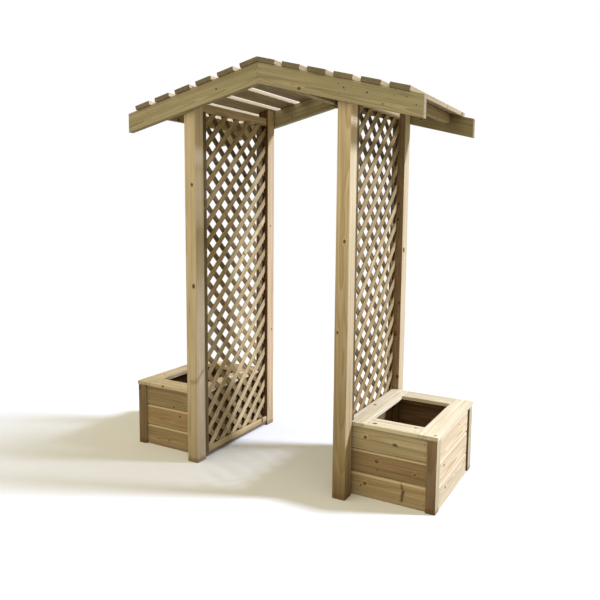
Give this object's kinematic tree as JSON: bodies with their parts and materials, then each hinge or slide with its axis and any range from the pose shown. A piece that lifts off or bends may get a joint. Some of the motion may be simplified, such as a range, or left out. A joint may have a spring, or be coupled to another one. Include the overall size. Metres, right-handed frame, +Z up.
{
  "type": "garden arch with planters",
  "caption": "Timber garden arch: posts under a slatted gable roof, diamond lattice sides and a shiplap planter box outside each side",
  "frame": {"origin": "on the ground, at the middle of the arch's footprint", "axes": "+X across the passage to the right as one faces the front, +Y along the passage to the back, +Z up"},
  "size_m": [1.8396, 0.82, 2.1096],
  "materials": {
    "post_timber": "matte",
    "rafter_timber": "matte",
    "slat_timber": "matte",
    "lath_timber": "matte",
    "rail_timber": "matte",
    "board_timber": "matte",
    "cap_timber": "matte",
    "batten_timber": "matte"
  },
  "bodies": {
    "root": {"post_front_left": "post_timber", "post_front_right": "post_timber", "post_back_left": "post_timber", "post_back_right": "post_timber", "bottom_rail_left": "rail_timber", "bottom_rail_right": "rail_timber", "lattice_left": "lath_timber", "lattice_right": "lath_timber", "lattice_battens_left": "batten_timber", "lattice_battens_right": "batten_timber", "top_rail_left": "rail_timber", "top_rail_right": "rail_timber", "rafter_front_left": "rafter_timber", "rafter_front_right": "rafter_timber", "rafter_back_left": "rafter_timber", "rafter_back_right": "rafter_timber", "ridge_board": "batten_timber", "eave_batten_left": "batten_timber", "eave_batten_right": "batten_timber", "roof_slats_left": "slat_timber", "roof_slats_right": "slat_timber", "planter_left_corner_posts": "post_timber", "planter_right_corner_posts": "post_timber", "planter_left_uprights": "batten_timber", "planter_right_uprights": "batten_timber", "planter_left_bearers": "batten_timber", "planter_right_bearers": "batten_timber", "planter_left_front_boards": "board_timber", "planter_right_front_boards": "board_timber", "planter_left_back_boards": "board_timber", "planter_right_back_boards": "board_timber", "planter_left_outer_boards": "board_timber", "planter_right_outer_boards": "board_timber", "planter_left_inner_boards": "board_timber", "planter_right_inner_boards": "board_timber", "planter_left_floor": "batten_timber", "planter_right_floor": "batten_timber", "planter_left_cap_sides": "cap_timber", "planter_right_cap_sides": "cap_timber", "planter_left_cap_ends": "cap_timber", "planter_right_cap_ends": "cap_timber"}
  },
  "joints": []
}
